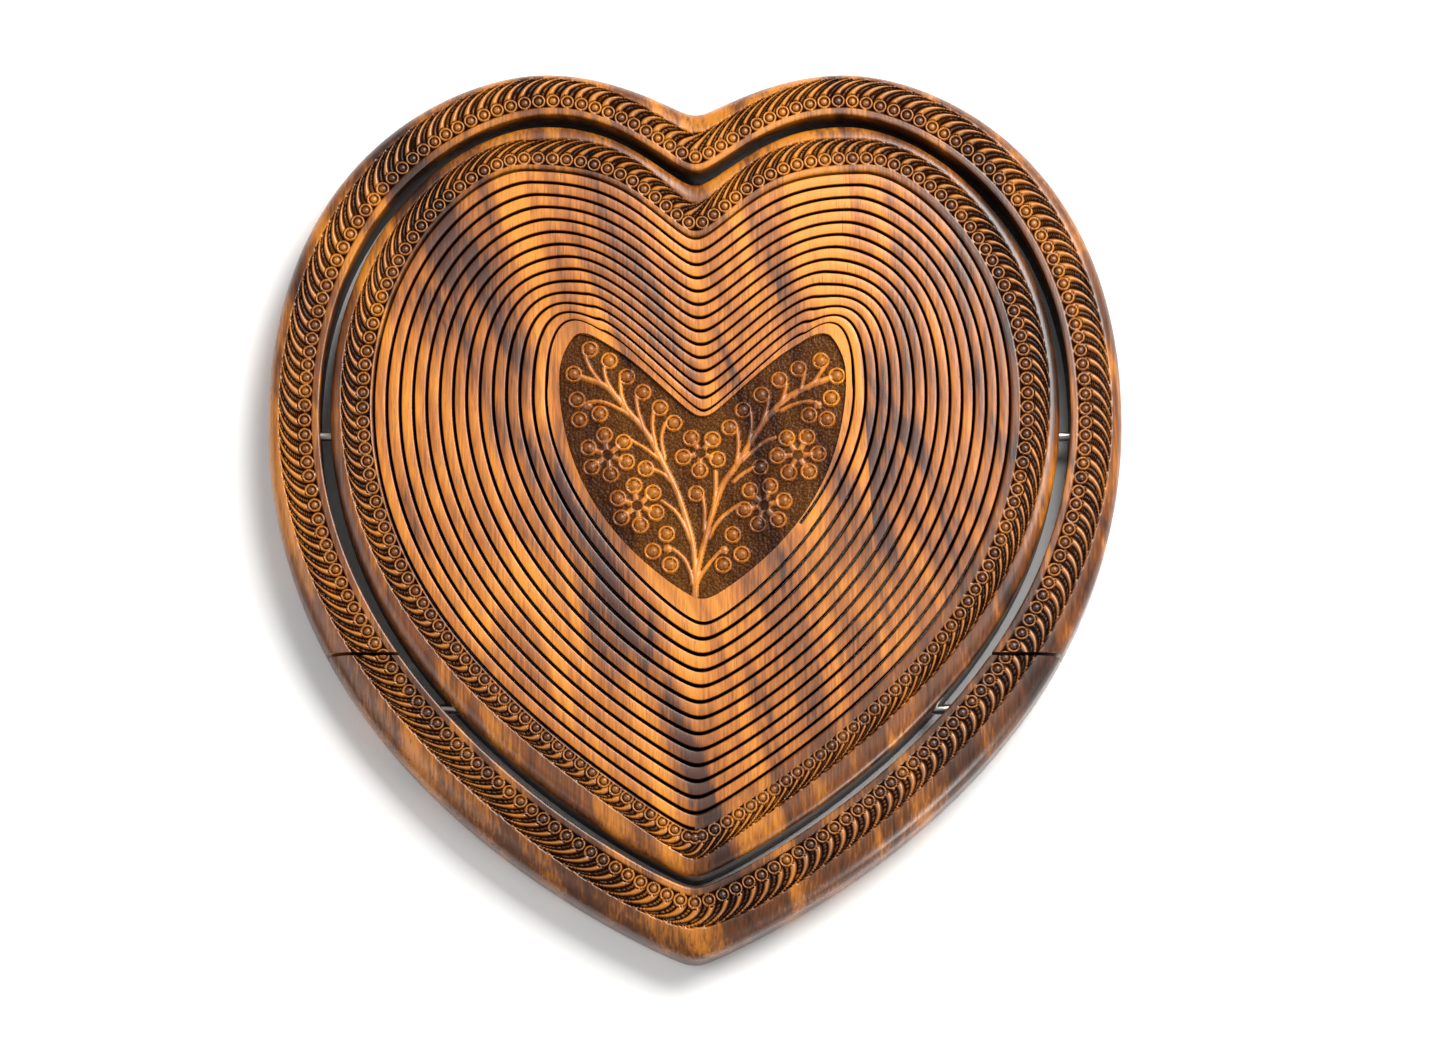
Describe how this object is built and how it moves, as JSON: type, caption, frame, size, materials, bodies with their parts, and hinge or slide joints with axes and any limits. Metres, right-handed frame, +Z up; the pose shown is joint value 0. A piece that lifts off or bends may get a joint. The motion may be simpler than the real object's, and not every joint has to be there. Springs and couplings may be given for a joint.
{
  "type": "collapsible carved wooden heart basket",
  "caption": "Heart-shaped board of carved, varnished rosewood whose spiral saw cut lets the centre drop into a basket, with a swing-up handle and a fold-down foot.",
  "frame": {"origin": "under the middle of the heart's outline, on the surface it lies on", "axes": "+Z up through the board, +Y to the heart's lobes, -Y to its tip, +X to the right seen from above"},
  "size_m": [0.305, 0.325, 0.02],
  "materials": {
    "carved_band": "gloss varnish, carved",
    "spiral_wood": "gloss varnish, sawn in a spiral",
    "carved_panel": "carved in relief, varnished",
    "steel_screw": "turned steel"
  },
  "bodies": {
    "rim": {"basket_rim": "carved_band", "handle_screw_left": "steel_screw", "handle_screw_right": "steel_screw", "foot_screw_left": "steel_screw", "foot_screw_right": "steel_screw"},
    "handle": {"carry_handle": "carved_band"},
    "foot": {"folding_foot": "carved_band"},
    "turn_01": {"spiral_turn_01": "spiral_wood"},
    "turn_02": {"spiral_turn_02": "spiral_wood"},
    "turn_03": {"spiral_turn_03": "spiral_wood"},
    "turn_04": {"spiral_turn_04": "spiral_wood"},
    "turn_05": {"spiral_turn_05": "spiral_wood"},
    "turn_06": {"spiral_turn_06": "spiral_wood"},
    "turn_07": {"spiral_turn_07": "spiral_wood"},
    "turn_08": {"spiral_turn_08": "spiral_wood"},
    "turn_09": {"spiral_turn_09": "spiral_wood"},
    "turn_10": {"spiral_turn_10": "spiral_wood"},
    "turn_11": {"spiral_turn_11": "spiral_wood"},
    "turn_12": {"spiral_turn_12": "spiral_wood"},
    "panel": {"spiral_turn_13": "spiral_wood", "centre_panel": "carved_panel"}
  },
  "joints": [
    {"name": "handle_swing", "type": "hinge", "parent": "rim", "child": "handle", "pos_m": [0, 0.0285, 0.01], "axis": [1, 0, 0], "range_deg": [0, 90]},
    {"name": "foot_swing", "type": "hinge", "parent": "rim", "child": "foot", "pos_m": [0, -0.0714, 0.01], "axis": [1, 0, 0], "range_deg": [0, 59]},
    {"name": "basket_lift", "type": "slide", "parent": "panel", "child": "turn_12", "axis": [0, 0, 1], "range_m": [0, 0.0055]},
    {"name": "basket_lift_02", "type": "slide", "parent": "turn_12", "child": "turn_11", "axis": [0, 0, 1], "range_m": [0, 0.0055]},
    {"name": "basket_lift_03", "type": "slide", "parent": "turn_11", "child": "turn_10", "axis": [0, 0, 1], "range_m": [0, 0.0055]},
    {"name": "basket_lift_04", "type": "slide", "parent": "turn_10", "child": "turn_09", "axis": [0, 0, 1], "range_m": [0, 0.0055]},
    {"name": "basket_lift_05", "type": "slide", "parent": "turn_09", "child": "turn_08", "axis": [0, 0, 1], "range_m": [0, 0.0055]},
    {"name": "basket_lift_06", "type": "slide", "parent": "turn_08", "child": "turn_07", "axis": [0, 0, 1], "range_m": [0, 0.0055]},
    {"name": "basket_lift_07", "type": "slide", "parent": "turn_07", "child": "turn_06", "axis": [0, 0, 1], "range_m": [0, 0.0055]},
    {"name": "basket_lift_08", "type": "slide", "parent": "turn_06", "child": "turn_05", "axis": [0, 0, 1], "range_m": [0, 0.0055]},
    {"name": "basket_lift_09", "type": "slide", "parent": "turn_05", "child": "turn_04", "axis": [0, 0, 1], "range_m": [0, 0.0055]},
    {"name": "basket_lift_10", "type": "slide", "parent": "turn_04", "child": "turn_03", "axis": [0, 0, 1], "range_m": [0, 0.0055]},
    {"name": "basket_lift_11", "type": "slide", "parent": "turn_03", "child": "turn_02", "axis": [0, 0, 1], "range_m": [0, 0.0055]},
    {"name": "basket_lift_12", "type": "slide", "parent": "turn_02", "child": "turn_01", "axis": [0, 0, 1], "range_m": [0, 0.0055]},
    {"name": "basket_lift_13", "type": "slide", "parent": "turn_01", "child": "rim", "axis": [0, 0, 1], "range_m": [0, 0.0055]}
  ],
  "couplings": [
    {"joint": "basket_lift_02", "follows": "basket_lift", "ratio": 1},
    {"joint": "basket_lift_03", "follows": "basket_lift", "ratio": 1},
    {"joint": "basket_lift_04", "follows": "basket_lift", "ratio": 1},
    {"joint": "basket_lift_05", "follows": "basket_lift", "ratio": 1},
    {"joint": "basket_lift_06", "follows": "basket_lift", "ratio": 1},
    {"joint": "basket_lift_07", "follows": "basket_lift", "ratio": 1},
    {"joint": "basket_lift_08", "follows": "basket_lift", "ratio": 1},
    {"joint": "basket_lift_09", "follows": "basket_lift", "ratio": 1},
    {"joint": "basket_lift_10", "follows": "basket_lift", "ratio": 1},
    {"joint": "basket_lift_11", "follows": "basket_lift", "ratio": 1},
    {"joint": "basket_lift_12", "follows": "basket_lift", "ratio": 1},
    {"joint": "basket_lift_13", "follows": "basket_lift", "ratio": 1}
  ]
}
